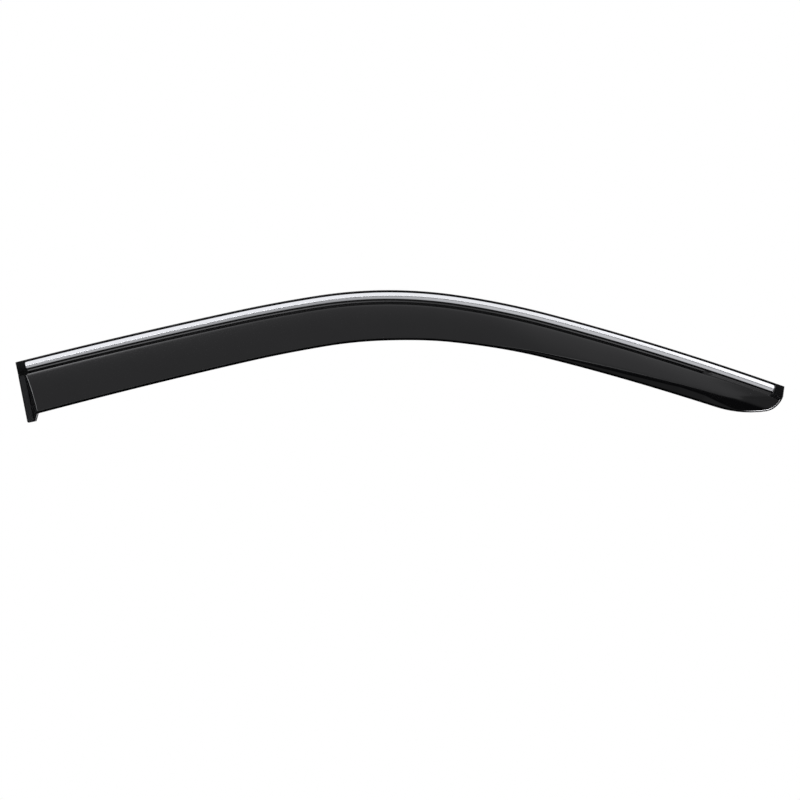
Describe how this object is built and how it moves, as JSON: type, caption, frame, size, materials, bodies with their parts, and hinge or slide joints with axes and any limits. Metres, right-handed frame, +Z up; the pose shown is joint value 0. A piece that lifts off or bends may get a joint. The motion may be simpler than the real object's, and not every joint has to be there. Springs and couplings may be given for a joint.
{
  "type": "window rain deflector",
  "caption": "Arched smoked acrylic side-window rain deflector with a bright trim strip, black end caps, a flanged rear post, a rounded nose and adhesive tape behind.",
  "frame": {"origin": "on the bonding plane, on the centre line of the crown tape at the highest point of the arch", "axes": "+X along the door toward the nose (the car's front), +Y into the car, normal to the bonding plane, +Z up; the outer face looks along -Y"},
  "size_m": [0.8629, 0.0245, 0.1489],
  "materials": {
    "smoked_acrylic": "polished injection-moulded acrylic, dark smoke tint",
    "bright_stainless": "bright-annealed roll-formed stainless strip",
    "black_abs": "satin moulded",
    "foam_tape": "closed-cell acrylic foam tape",
    "release_liner": "thin film"
  },
  "bodies": {
    "root": {"visor_shield": "smoked_acrylic", "bright_strip": "bright_stainless", "strip_tape": "foam_tape", "rear_end_cap": "black_abs", "front_end_cap": "black_abs", "rail_tape_rear": "foam_tape", "rail_tape_crown": "foam_tape", "rail_tape_front": "foam_tape", "post_tape": "foam_tape", "liner_rear": "release_liner", "liner_crown": "release_liner", "liner_front": "release_liner", "liner_post": "release_liner"}
  },
  "joints": []
}
